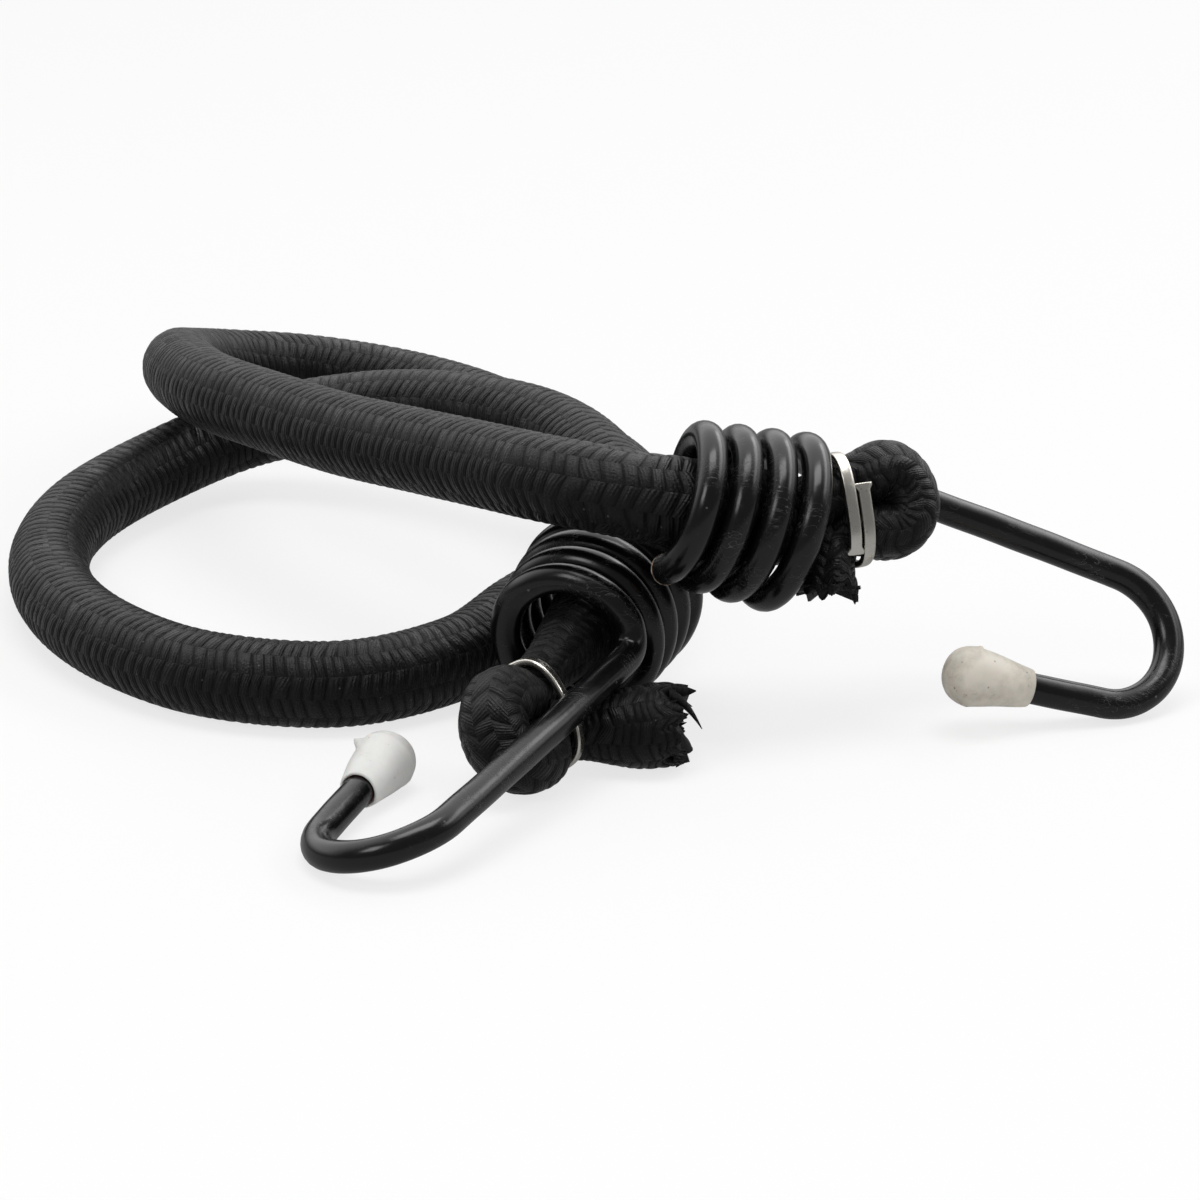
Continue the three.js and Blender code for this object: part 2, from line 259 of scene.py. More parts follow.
FULLER, FULL_UNTIL, FULL_FADE = 0.4 * MM, 13 * MM, 4 * MM
RUBBER_HALF = 0.37 * CORD
CORD_RINGS, CORD_SIDES, RUBBER_SIDES = 2660, 36, 24
cord_line = even(spline(route, 1500), CORD_RINGS)
cord_side, cord_up = level_frame(cord_line)
cord_half = CORD / 2 + FULLER * np.clip((FULL_UNTIL - lengths(cord_line)) / FULL_FADE, 0, 1)
from_bend = np.linalg.norm(cord_line - route[FRONT_BEND], axis=1)
cord_rib = RIB * (1.07 - 0.27 * np.exp(-(from_bend / BEND_REACH)**2))
cord_braid = braided("cord_braid", cord_line, cord_side, cord_up, cord_half, cord_half,
                     CORD_SIDES, cord_rib, CORD_RELIEF, CORD_LEAN, CORD_WANDER)
inner = slice(6, -6, 13)
cord_rubber = skin("cord_rubber", rings_of(cord_line[inner], cord_side[inner], cord_up[inner],
                                           RUBBER_HALF, RUBBER_HALF, RUBBER_SIDES))

# %% [markdown]
# Each end of the cord is folded back on itself and squeezed flat where the
# ring clamps it. A simple bent tube would miss that squeeze, so every station
# of the fold has its own half height and half depth. The rows are shares of the
# cord's diameter: along the coil, across, out of the fold, and the two halves.

# %% Places of the two ends
right_fold = np.array([
    [-0.6, 0, 0, 0.54, 0.54], [-0.3, 0, 0, 0.54, 0.54],
    [-0.02, 0.12, 0.09, 0.47, 0.48], [0.18, 0.32, 0.22, 0.32, 0.36],
    [0.37, 0.46, 0.27, 0.3, 0.33], [0.6, 0.65, 0.28, 0.325, 0.4],
    [0.86, 0.77, 0.31, 0.34, 0.43], [1.11, 0.66, 0.32, 0.34, 0.43],
    [1.22, 0.41, 0.32, 0.34, 0.43], [1.11, 0.15, 0.32, 0.34, 0.43],
    [0.86, 0.07, 0.3, 0.345, 0.41], [0.7, 0.05, 0.27, 0.31, 0.36],
    [0.55, 0.02, 0.24, 0.29, 0.31], [0.42, -0.08, 0.24, 0.29, 0.3],
    [0.36, -0.3, 0.27, 0.3, 0.4], [0.36, -0.54, 0.27, 0.33, 0.43],
    [0.39, -0.76, 0.27, 0.37, 0.45]])
left_fold = np.array([
    [-0.6, 0, 0, 0.48, 0.48], [-0.3, 0, 0, 0.44, 0.44],
    [0.1, -0.01, -0.03, 0.37, 0.38], [0.5, -0.03, -0.06, 0.31, 0.35],
    [0.88, -0.04, -0.1, 0.265, 0.33], [1.15, 0, -0.13, 0.27, 0.315],
    [1.42, -0.11, -0.11, 0.34, 0.37], [1.7, -0.22, -0.11, 0.395, 0.4],
    [1.99, -0.14, -0.14, 0.385, 0.4], [2.12, 0.14, -0.17, 0.37, 0.4],
    [1.99, 0.41, -0.14, 0.385, 0.4], [1.7, 0.49, -0.11, 0.39, 0.39],
    [1.46, 0.48, -0.13, 0.32, 0.35], [1.27, 0.5, -0.14, 0.265, 0.31],
    [1.1, 0.56, -0.1, 0.275, 0.315], [0.94, 0.69, 0.09, 0.33, 0.36],
    [0.81, 0.86, 0.34, 0.42, 0.43], [0.69, 1.03, 0.61, 0.47, 0.48],
    [0.6, 1.17, 0.86, 0.48, 0.48], [0.55, 1.26, 1.02, 0.44, 0.45]])


def rotation(degrees, axis):
    return Matrix.Rotation(math.radians(degrees), 4, axis)


def end_matrix(place, yaw, pitch, roll):
    turn = rotation(yaw, "Z") @ rotation(pitch, "Y") @ rotation(roll, "X")
    return Matrix.Translation(MM * Vector(place)) @ turn


def turned(matrix, vectors):
    return vectors @ np.array(matrix)[:3, :3].T


def put(matrix, points):
    return turned(matrix, points) + np.array(matrix)[:3, 3]


def carried(matrix, line, side, up):
    return put(matrix, line), turned(matrix, side), turned(matrix, up)


right_place = end_matrix((4.1, 17.2, 24.35), 13.7, 15.3, 43.1)
left_place = end_matrix((-21.8, 13.2, 10.8), -108.6, 6.25, 6.84)
right_knot_place = right_place @ rotation(27.2, "X")
left_knot_place = left_place @ rotation(-63.7, "X")
print("right coil mouth", right_place.translation, "left coil mouth", left_place.translation)

# %% [markdown]
# The folds get the same braid as the cord, with a shorter rib and looser yarns.
# Their skin is lumpy from the squeeze, and the last rings are pulled out of
# line, because a braid that is cut never ends in a clean circle.


# %% Folded ends
KNOT_RIB = 0.9 * RIB
TORN = 1.7 * MM
KNOT_RINGS, KNOT_SIDES = 260, 72


def folded_end(name, place, rows):
    walk = spline(rows * CORD, KNOT_RINGS)
    middle, halves = walk[:, :3], walk[:, 3:]
    line, side, up = carried(place, middle, *level_frame(middle))
    piece = braided(name, line, side, up, halves[:, 0], halves[:, 1], KNOT_SIDES, KNOT_RIB,
                    KNOT_RELIEF, KNOT_LEAN, KNOT_WANDER, TORN)
    return piece, (line, side, up, halves)


right_knot, right_stations = folded_end("right_knot", right_knot_place, right_fold)
left_knot, left_stations = folded_end("left_knot", left_knot_place, left_fold)


# %% [markdown]
# The tail of each fold was cut with a blade. The braid's yarns spring open
# there and stand out as small tapered tufts, a few of them long and hooked.
# Hair particles would be lost in an export, so each tuft is a little mesh.

# %% Frayed tails
TUFT_ROOT = 1.2 * MM
HOOKED_TUFT = 1.1 * MM


def many(name, skins):
    points, faces, base = [], [], 0
    for rings in skins:
        n, m = rings.shape[:2]
        points.append(rings.reshape(-1, 3))
        faces += (quads_of(n, m)[2] + base).tolist()
        faces.append([base + m - 1 - a for a in range(m)])
        faces.append([base + (n - 1) * m + a for a in range(m)])
        base += n * m
    print(name, len(skins), "parts,", len(faces), "faces")
    return piece_of(name, np.vstack(points), faces)


def tuft(root, ahead, lean, reach, thick, curl, sides=6, steps=8):
    t = np.linspace(0, 1, steps)[:, None]
    line = root + ahead * reach * t + lean * reach * (0.25 * t + curl * t**2)
    way = along(line)
    side = unit(np.cross(way, ahead + 0.31 * lean + 0.01))
    up = np.cross(way, side)
    half = thick * (1 - 0.93 * t**1.4)
    return rings_of(line, side, up, half, 0.6 * half, sides)


def frayed(name, stations, count, longest, hooks):
    middle, side, up, halves = (station[-1] for station in stations)
    ahead = unit(middle - stations[0][-4])

    def rooted(angle, share):
        return middle - TUFT_ROOT * ahead + share * (side * math.cos(angle) * halves[0]
                                                     + up * math.sin(angle) * halves[1])

    tufts = []
    for n in range(count):
        angle = 2 * math.pi * (n + rng.uniform(-0.4, 0.4)) / count
        out = side * math.cos(angle) + up * math.sin(angle)
        clump = 0.5 + 0.5 * math.sin(5 * angle + 2) * math.cos(2 * angle)
        tufts.append(tuft(rooted(angle, rng.uniform(0.75, 0.98)), ahead,
                          out * rng.uniform(-0.5, 1.0) + 0.4 * rng.uniform(-1, 1, 3),
                          longest * (0.35 + 0.65 * clump) * rng.uniform(0.5, 1),
                          rng.uniform(0.35, 1.0) * MM, rng.uniform(-0.3, 0.9)))
    for angle, reach, fall, curl in hooks:
        tufts.append(tuft(rooted(angle, 0.86), ahead, np.array(fall), reach * MM,
                          HOOKED_TUFT, curl, 8, 14))
    return many(name, tufts)


right_fray = frayed("right_fray", right_stations, 60, 1.6 * MM,
                    [(0.6, 1.6, (0.2, -0.1, -0.5), 0.4)])
left_fray = frayed("left_fray", left_stations, 64, 2.0 * MM,
                   [(1.0, 2.6, (0.2, -0.3, 0.1), 0.3), (1.25, 3.2, (0.1, -0.4, -0.9), 1.0),
                    (5.0, 2.0, (-0.2, -0.1, -0.8), 0.5)])


# %% [markdown]
# Inside the sheath runs a bundle of fine rubber strands. Only their cut ends
# can be seen, in the mouth of each tail. Each fold has some seventy strands,
# packed side by side in rows and cut off a little unevenly.

# %% Rubber strands in the folds
STRAND_GAP, STRAND_HALF = 0.155, 0.074
ROW_SHARE = 0.87
BUNDLE_RADIUS_SQUARED = 0.5


def rubber_bundle(name, stations):
    middle, side, up, halves = stations
    strands = []
    for row in range(-6, 7):
        for column in range(-6, 7):
            x, y = STRAND_GAP * (column + row % 2 / 2), STRAND_GAP * row * ROW_SHARE
            if x * x + y * y > BUNDLE_RADIUS_SQUARED:
                continue
            pick = slice(6, len(middle) - 4 - int(rng.integers(0, 4)), 5)
            line = (middle + side * (x * halves[:, :1]) + up * (y * halves[:, 1:]))[pick]
            thick = STRAND_HALF * halves[pick]
            strands.append(rings_of(line, side[pick], up[pick], thick[:, :1], thick[:, 1:], 6))
    return many(name, strands)


right_rubber = rubber_bundle("right_rubber", right_stations)
left_rubber = rubber_bundle("left_rubber", left_stations)


# %% [markdown]
# Each hook is one length of coated wire: about four turns round the cord, a sharp
# corner, a slightly bowed shank, and a bend back to the tip. The line is made
# from those parts in the hook's own frame, in millimetres, and then a round skin
# goes over it. The coating is a little uneven, so the skin's radius wanders by a
# few hundredths of a millimetre.

# %% Hook lines
WIRE = 3.6 * MM
COAT_IN = 0.01 * MM
PITCH, CORNER, CORNER_PULL, SHANK, TIP = 4.1, 3, 2, 42, 16.4
BOW_RADIUS, BEND_RADIUS, BEND_TURN = 625, 8.2, math.radians(170)
SHANK_LEAN, BEND_TWIST = math.radians(8.1), math.radians(9.2)
WIRE_RINGS, WIRE_SIDES = 640, 24
shank_along = np.array([math.cos(SHANK_LEAN), -math.sin(SHANK_LEAN), 0])
bend_side = np.array(Matrix.Rotation(BEND_TWIST, 3, Vector(shank_along))
                     @ Vector((-math.sin(SHANK_LEAN), -math.cos(SHANK_LEAN), 0)))


def hook_line(turns, mouth, rear):
    full = 2 * math.pi * turns

    def coil(angle):
        radius = mouth + (rear - mouth) * angle / full
        return np.stack([-PITCH * angle / (2 * math.pi), radius * np.cos(angle),
                         radius * np.sin(angle)], -1)

    winding = coil(np.linspace(full, CORNER / mouth, 260))
    start = np.array([0, mouth, 0])
    a, d = winding[-1], start + CORNER * shank_along
    b, c = a + CORNER_PULL * unit(coil(np.array(0.0)) - a), d - CORNER_PULL * shank_along
    t = np.linspace(0, 1, 12)[1:, None]
    corner = (1 - t)**3 * a + 3 * (1 - t)**2 * t * b + 3 * (1 - t) * t**2 * c + t**3 * d
    bow = np.linspace(CORNER, SHANK, 40)[1:] / BOW_RADIUS
    bowed = bow[-1]
    heading = bowed + np.linspace(0, BEND_TURN, 60)[1:]
    travel = np.concatenate([BOW_RADIUS * np.sin(bow), BOW_RADIUS * math.sin(bowed)
                             + BEND_RADIUS * (np.sin(heading) - math.sin(bowed))])
    side = np.concatenate([BOW_RADIUS * (1 - np.cos(bow)), BOW_RADIUS * (1 - math.cos(bowed))
                           + BEND_RADIUS * (math.cos(bowed) - np.cos(heading))])
    shank = start + travel[:, None] * shank_along + side[:, None] * bend_side
    tip_way = math.cos(heading[-1]) * shank_along + math.sin(heading[-1]) * bend_side
    tip = shank[-1] + np.linspace(0, TIP, 14)[1:, None] * tip_way
    return MM * np.vstack([winding, corner, shank, tip]), tip_way


def wire_hook(name, place, turns, mouth, rear):
    line, tip_way = hook_line(turns, mouth, rear)
    line = even(line, WIRE_RINGS)
    ahead = along(line)
    side = np.zeros_like(line)
    across = np.array([1.0, 0, 0])
    for i, way in enumerate(ahead):
        across = unit(across - across.dot(way) * way)
        side[i] = across
    up = np.cross(ahead, side)
    run = lengths(line)[:, None] / MM
    angle = round_angles(WIRE_SIDES)
    uneven = (0.018 * np.sin(run / 3.1 + 2 * angle) + 0.014 * np.sin(run / 1.27 - angle + 2)
              + 0.012 * np.sin(run / 7.3 + 3 * angle)) * MM
    half = WIRE / 2 - COAT_IN + uneven
    piece = skin(name, rings_of(*carried(place, line, side, up), half, half, WIRE_SIDES))
    print(name, "%.0f mm of wire" % run[-1, 0])
    return piece, line, tip_way, (ahead[0], side[0], up[0])


right_wire, right_line, right_tip_way, right_start = wire_hook(
    "right_wire", right_place, turns=3.57, mouth=8.9, rear=7.8)
left_wire, left_line, left_tip_way, left_start = wire_hook(
    "left_wire", left_place, turns=4.07, mouth=8.2, rear=9.2)


# %% [markdown]
# The wire was cut after coating. At the rear end of each coil the bare metal
# shows, with a thin pale rim where the coating tore. Turning an outline round
# the wire's own line gives both the rim and the slightly domed metal. The pairs
# of an outline are a radius and a reach along the line, in millimetres.

# %% Cut wire ends
RIM_SIDES = 28


def turned_outline(place, origin, ahead, side, up, outline, around, wave):
    angle = round_angles(around)
    rings = []
    for n, (radius, reach) in enumerate(outline):
        radius, reach = wave(n, radius * np.ones(around), reach, angle)
        reach = reach * np.ones(around)
        rings.append(origin + MM * (ahead * reach[:, None]
                                    + side * (radius * np.cos(angle))[:, None]
                                    + up * (radius * np.sin(angle))[:, None]))
    return put(place, np.array(rings))


def cut_end(name, place, line, start):
    ahead, side, up = -start[0], start[1], -start[2]
    torn = rng.uniform(-0.03, 0.05, RIM_SIDES)

    def tear(n, radius, reach, angle):
        return radius, reach + (torn if n in (1, 2) else 0)

    rim = [(1.8, -0.15), (1.81, 0.06), (1.7, 0.1), (1.5, 0.02), (1.4, 0.03), (1.0, 0.06),
           (0.5, 0.09), (0.05, 0.1)]
    piece = skin(name, turned_outline(place, line[0], ahead, side, up, rim, RIM_SIDES, tear))
    print(name, "reaches", rim[-1][1], "mm past the coating")
    return piece


right_cut = cut_end("right_cut", right_place, right_line, right_start)
left_cut = cut_end("left_cut", left_place, left_line, left_start)


# %% [markdown]
# A soft cap is pushed on each tip. It was moulded in pieces, so fine ridges run
# up both sides and round the shoulder, and a little nub is left on one side. A
# sphere on a cylinder would look like a pin's head, so the outline is drawn:
# narrow at the mouth, widest near the end, and rounded off.

# %% Caps
COVERED = 7.1 * MM
NECK, WIDEST = 2.24, 3.48
LIP, CONE, DOME, SHOULDER = 0.2, 6.9, 3.4, 7.2
CAP_SIDES = 64


def soft_cap(name, place, line, tip_way, nub_way, nub):
    side = unit(np.cross(tip_way, [0.2, 0.3, 1.0]))
    up = np.cross(tip_way, side)
    outwards = np.array(place)[:3, :3].T @ np.array(nub_way)
    lean = math.atan2(outwards @ up, outwards @ side)
    outline = [(1.86, 0.9), (1.88, 0.1), (1.96, -0.02), (2.14, 0.0), (NECK, 0.16)]
    outline += [(NECK + (WIDEST - NECK) * (x / CONE)**0.85, LIP + x)
                for x in np.linspace(0.3, CONE, 28)]
    outline += [(WIDEST * math.cos(q)**0.82, LIP + CONE + DOME * math.sin(q))
                for q in np.linspace(0.04, math.pi / 2 - 0.03, 22)]

    def moulded(n, radius, reach, angle):
        apart = np.abs(np.mod(angle - lean + math.pi, 2 * math.pi) - math.pi)
        ridge = np.exp(-(np.minimum(apart, math.pi - apart) / 0.09)**2)
        shoulder = math.exp(-((reach - SHOULDER) / 0.3)**2) if n > 4 else 0
        spike = nub * np.exp(-(apart / 0.14)**2) * shoulder
        dent = 0.035 * np.sin(3 * angle + reach) + 0.03 * np.cos(2 * angle - 0.7 * reach)
        fade = min(1, radius[0] / 2.4)
        return radius + fade * (0.05 * ridge + 0.05 * shoulder + dent) + spike, reach

    piece = skin(name, turned_outline(place, line[-1] - COVERED * tip_way, tip_way, side, up,
                                      outline, CAP_SIDES, moulded))
    print(name, "%.1f mm long" % (LIP + CONE + DOME))
    return piece


right_soft_cap = soft_cap("right_soft_cap", right_place, right_line, right_tip_way,
                          (0.2, 0, 1), 0.3)
left_soft_cap = soft_cap("left_soft_cap", left_place, left_line, left_tip_way,
                         (-1, -0.2, 0.5), 0.75)


# %% [markdown]
# The ring is flat wire, bent by pliers round both strands until its ends lap.
# Its corners were rounded by rolling, and each cut end is upset into a small
# head. A torus has none of this, so the flat section is swept along a squared
# outline, with a wider section at the two heads.

# %% Hog rings
RING_SIDE, RING_UP, RING_STEP = 6.35, 4.5, 2
LAPPED = math.radians(423)
RING_SQUARE = 2.8
HALF_FLAT, HALF_OUT = 0.72, 0.4
HEAD_WIDER, HEAD_THINNER, HEAD_LENGTH = 0.36, 0.02, 0.55
RING_STATIONS, SECTION_SIDES = 300, 20


def powered(value, power):
    return np.sign(value) * np.abs(value)**power


def hog_ring(name, place, shares, tilt, start):
    share = np.linspace(0, 1, RING_STATIONS)
    angle = math.radians(start) - LAPPED * share
    cos, sin = powered(np.cos(angle), 2 / RING_SQUARE), powered(np.sin(angle), 2 / RING_SQUARE)
    line = np.stack([(share - 0.5) * RING_STEP, RING_SIDE * cos, RING_UP * sin], 1)
    out = unit(np.stack([0 * cos, powered(cos, RING_SQUARE - 1) / RING_SIDE,
                         powered(sin, RING_SQUARE - 1) / RING_UP], 1))
    for _ in range(12):
        line[1:-1] += (line[:-2] + line[2:] - 2 * line[1:-1]) / 4
        out = unit(np.vstack([out[:1], (out[:-2] + 2 * out[1:-1] + out[2:]) / 4, out[-1:]]))
    ahead = along(line)
    out = unit(out - (out * ahead).sum(1, keepdims=True) * ahead)
    flat = np.cross(out, ahead)
    run = lengths(line)
    head = np.clip(1.6 - np.minimum(run, run[-1] - run) / HEAD_LENGTH, 0, 1)
    half_flat = (HALF_FLAT + HEAD_WIDER * head)[:, None]
    half_out = (HALF_OUT - HEAD_THINNER * head)[:, None]
    corner = round_angles(SECTION_SIDES) + math.pi / SECTION_SIDES
    rings = (line[:, None] + flat[:, None] * (half_flat * powered(np.cos(corner), 0.5))[..., None]
             + out[:, None] * (half_out * powered(np.sin(corner), 0.5))[..., None])
    matrix = place @ Matrix.Translation(CORD * Vector(shares)) @ rotation(tilt, "Z")
    piece = skin(name, put(matrix, MM * rings)[:, ::-1])
    print(name, "%.0f mm of flat wire" % run[-1])
    return piece


right_clamp = hog_ring("right_clamp", right_knot_place, (0.46, 0.24, 0.28), 20, 134)
left_clamp = hog_ring("left_clamp", left_knot_place, (1.21, 0.25, -0.14), -14, -46)


# %% [markdown]
# Materials come next. Effects that several finishes share are node groups with
# named inputs. A short helper adds nodes and joins them, so that each group
# reads as the sum it works out. An input goes by its name, or by its number as
# at0, at1 and so on. Two more helpers make a finish and feed its shader.

# %% Node helpers
class Nodes:
    def __init__(self, tree):
        self.tree = tree

    def feed(self, node, key, value):
        socket = node.inputs[int(key[2:])] if key.startswith("at") else node.inputs[key]
        if isinstance(value, bpy.types.NodeSocket):
            self.tree.links.new(value, socket)
        else:
            socket.default_value = value

    def add(self, kind, settings=None, **inputs):
        node = self.tree.nodes.new(kind)
        for key, value in (settings or {}).items():
            setattr(node, key, value)
        for key, value in inputs.items():
            self.feed(node, key.replace("_", " "), value)
        return node

    def maths(self, operation, *values):
        inputs = {"at%d" % n: value for n, value in enumerate(values)}
        return self.add("ShaderNodeMath", {"operation": operation}, **inputs).outputs[0]

    def times(self, a, b):
        return self.maths("MULTIPLY", a, b)

    def times_add(self, a, b, c):
        return self.maths("MULTIPLY_ADD", a, b, c)

    def between(self, value, low, high, to_low=0.0, to_high=1.0):
        return self.add("ShaderNodeMapRange", Value=value, From_Min=low, From_Max=high,
                        To_Min=to_low, To_Max=to_high).outputs[0]

    def colours(self, value, stops):
        node = self.add("ShaderNodeValToRGB", at0=value)
        ramp = node.color_ramp
        for n, (place, colour) in enumerate(stops):
            stop = ramp.elements[n] if n < 2 else ramp.elements.new(place)
            stop.position, stop.color = place, (*colour, 1)
        return node.outputs[0]

    def place(self):
        return self.add("ShaderNodeTexCoord").outputs["Object"]

    def noise(self, place, scale, detail, roughness=0.5):
        return self.add("ShaderNodeTexNoise", at0=place, Scale=scale, Detail=detail,
                        Roughness=roughness).outputs[0]

    def use(self, tree, **inputs):
        return self.add("ShaderNodeGroup", {"node_tree": tree}, **inputs).outputs


def group(name, vector, numbers, outputs):
    tree = bpy.data.node_groups.new(name, "ShaderNodeTree")
    tree.interface.new_socket(vector, in_out="INPUT", socket_type="NodeSocketVector")
    for key, value in numbers.items():
        socket = tree.interface.new_socket(key, in_out="INPUT", socket_type="NodeSocketFloat")
        socket.default_value = value
    for key in outputs:
        tree.interface.new_socket(key, in_out="OUTPUT", socket_type="NodeSocketFloat")
    nodes = Nodes(tree)
    return nodes, nodes.add("NodeGroupInput").outputs, nodes.add("NodeGroupOutput")


def finish_of(name, **constants):
    material = bpy.data.materials.new(name)
    material.use_nodes = True
    tree = material.node_tree
    shader = tree.nodes["Principled BSDF"]
    for key, value in constants.items():
        shader.inputs[key.replace("_", " ")].default_value = value
    return material, Nodes(tree), shader


def surface(n, shader, colour, roughness, height=None, strength=1.0, distance=0.0):
    n.feed(shader, "Base Color", colour)
    n.feed(shader, "Roughness", roughness)
    if height is not None:
        bump = n.add("ShaderNodeBump", Strength=strength, Distance=distance, Height=height)
        n.feed(shader, "Normal", bump.outputs[0])


# %% [markdown]
# The braid group repeats the rule of the mesh with finer lines: each stitch is
# a flat yarn of parallel filaments, and each is tilted a little its own way. It
# gives the height for a bump, how far a point stands out of the gaps, and a
# number that changes from stitch to stitch.

# %% Group: braided yarn
g, given, give = group("braided yarn", "Marks",
                       {"Lean": CORD_LEAN, "Filaments": 4.0, "Wander": CORD_WANDER,
                        "Tilt": 1.2}, ["Height", "Crest", "Stitch"])
ribs, rows = g.add("ShaderNodeSeparateXYZ", at0=given["Marks"]).outputs[:2]
row = g.maths("FLOOR", rows)
across = g.maths("SUBTRACT", rows, row)
way = g.times_add(g.maths("FLOORED_MODULO", row, 2.0), -2.0, 1.0)
leaning = g.times(way, g.times_add(g.maths("SUBTRACT", across, 0.5), given["Lean"], ROW_SHIFT))
quick = g.maths("SINE", g.times_add(row, 2.1, g.times(ribs, 1.3)))
slow = g.maths("SINE", g.times_add(row, -1.7, g.times(ribs, 0.31)))
wandered = g.times_add(g.times_add(slow, 1.2, quick), given["Wander"], ribs)
phase = g.maths("ADD", wandered, leaning)
number = g.maths("ROUND", phase)
off = g.maths("SUBTRACT", phase, number)
wide = g.times(off, STITCH_FILL)
arch = g.maths("SQRT", g.maths("MAXIMUM", g.maths("SUBTRACT", 1.0, g.times(wide, wide)), 0.0001))
tucked = g.maths("SQRT", g.maths("MAXIMUM", g.maths("SINE", g.times(across, math.pi)), 0.0001))
top = g.times(arch, g.times_add(tucked, ROW_DIP, 1 - ROW_DIP))
stitch = g.add("ShaderNodeTexWhiteNoise", {"noise_dimensions": "1D"},
               W=g.times_add(row, 37.7, number))
own = [g.maths("SUBTRACT", part, 0.5) for part in
       g.add("ShaderNodeSeparateColor", at0=stitch.outputs["Color"]).outputs]
skewed = g.times_add(g.times(own[0], across), 0.8, off)
grain = g.maths("SINE", g.times(g.times(skewed, given["Filaments"]), 2 * math.pi))
tilted = g.maths("ADD", g.times(own[1], off), g.times(own[2], across))
height = g.times_add(tilted, given["Tilt"], g.times_add(grain, 0.07, top))
g.feed(give, "Height", height)
g.feed(give, "Crest", g.between(top, 0.2, 0.9))
g.feed(give, "Stitch", stitch.outputs["Value"])
braided_yarn = g.tree
print("group", braided_yarn.name, "with", len(braided_yarn.nodes), "nodes")

# %% [markdown]
# Dust and scuffs lie on everything that is handled. This group puts out small
# round specks, soft smudges and thin scratches as separate masks. They are
# made from the piece's own coordinates, so they stay put in every view.

# %% Group: handling marks
g, given, give = group("handling marks", "Place", {"Speck size": 900.0, "Amount": 0.5},
                       ["Specks", "Smudge", "Scratch"])
cells = g.add("ShaderNodeTexVoronoi", at0=given["Place"], Scale=given["Speck size"])
lucky = g.add("ShaderNodeSeparateColor", at0=cells.outputs["Color"]).outputs[0]
chosen = g.maths("LESS_THAN", lucky, g.times(given["Amount"], 0.12))
g.feed(give, "Specks", g.times(chosen, g.between(cells.outputs["Distance"], 0.22, 0.1)))
cloud = g.noise(given["Place"], 160.0, 5.0, 0.62)
g.feed(give, "Smudge", g.between(cloud, 0.42, 0.72))
stretch = g.add("ShaderNodeMapping", at0=given["Place"], Rotation=(0.5, 0.9, 0.4),
                Scale=(1.0, 14.0, 6.0))
ridge = g.maths("ABSOLUTE", g.maths("SUBTRACT", g.noise(stretch.outputs[0], 190.0, 2.0), 0.5))
g.feed(give, "Scratch", g.times(g.between(ridge, 0.012, 0.002), g.between(cloud, 0.5, 0.62)))
handling_marks = g.tree
print("group", handling_marks.name, "with", len(handling_marks.nodes), "nodes")

# %% [markdown]
# The sheath is black polyester. Its filaments run round the cord, so it has a
# satin shine in a broad band. Its colour is painted darker in the gaps, as
# painted shade, and lighter on the crests. A little sheen stands for the fine
# fuzz on the yarn.


# %% Sheath finish
def sheath_finish(name, lean, wander, filaments, tilt, strength):
    material, n, shader = finish_of(name, Sheen_Weight=0.03, Sheen_Roughness=0.4,
                                    Specular_IOR_Level=0.21)
    marks = n.add("ShaderNodeUVMap", {"uv_map": "strands"}).outputs[0]
    yarn = n.use(braided_yarn, Marks=marks, Lean=lean, Wander=wander, Filaments=filaments,
                 Tilt=tilt)
    dust = n.use(handling_marks, Place=n.place(), Speck_size=1500.0, Amount=0.25)
    # The colour is painted shade: nearly black in the gaps between stitches and lighter on the
    # crests. It also changes at random from stitch to stitch.
    crest_shade_and_stitch_tone = n.times(yarn["Crest"], n.between(yarn["Stitch"], 0, 1, 0.4, 1))
    cloth_with_gap_shade = n.colours(crest_shade_and_stitch_tone, [(0, (0.0005, 0.0005, 0.0005)), (1, (0.005, 0.0047, 0.0049))])
    dusted = n.add("ShaderNodeMix", {"data_type": "RGBA"}, at0=n.times(dust["Specks"], 0.3),
                   at6=cloth_with_gap_shade, at7=(0.2, 0.19, 0.18, 1)).outputs[2]
    satin = n.times(yarn["Crest"], n.between(yarn["Stitch"], 0, 1, 0.6, 1))
    height = n.times_add(n.noise(n.place(), 4200.0, 3.0), 0.35, yarn["Height"])
    surface(n, shader, dusted, n.between(satin, 0, 1, 0.7, 0.26), height, strength, 0.32 * MM)
    return material


sheath_black = sheath_finish("sheath black", CORD_LEAN, CORD_WANDER, 4.0, 1.2, 1.0)
knot_black = sheath_finish("knot black", KNOT_LEAN, KNOT_WANDER, 6.0, 1.5, 0.85)
print("finishes", sheath_black.name, "and", knot_black.name)

# %% [markdown]
# The tufts have no strand marks, so they get a plain yarn finish: the same
# black, made a little patchy by a fine noise, as loose fibres are.

# %% Tuft finish
tuft_black, n, shader = finish_of("tuft black", Sheen_Weight=0.06, Sheen_Roughness=0.4,
                                  Specular_IOR_Level=0.16)
streak = n.noise(n.place(), 2600.0, 3.0)
surface(n, shader,
        n.colours(streak, [(0.3, (0.001, 0.001, 0.001)), (0.75, (0.009, 0.0085, 0.009))]),
        n.between(streak, 0.3, 0.7, 0.8, 0.5), streak, 0.7, 0.1 * MM)
print("finish", tuft_black.name)

# %% [markdown]
# The wire has a semi-gloss black coat, dipped and slightly rippled. Handling
# has left dull smudges and thin grey scuffs. The smudges change the roughness,
# and the scuffs are a shade lighter.

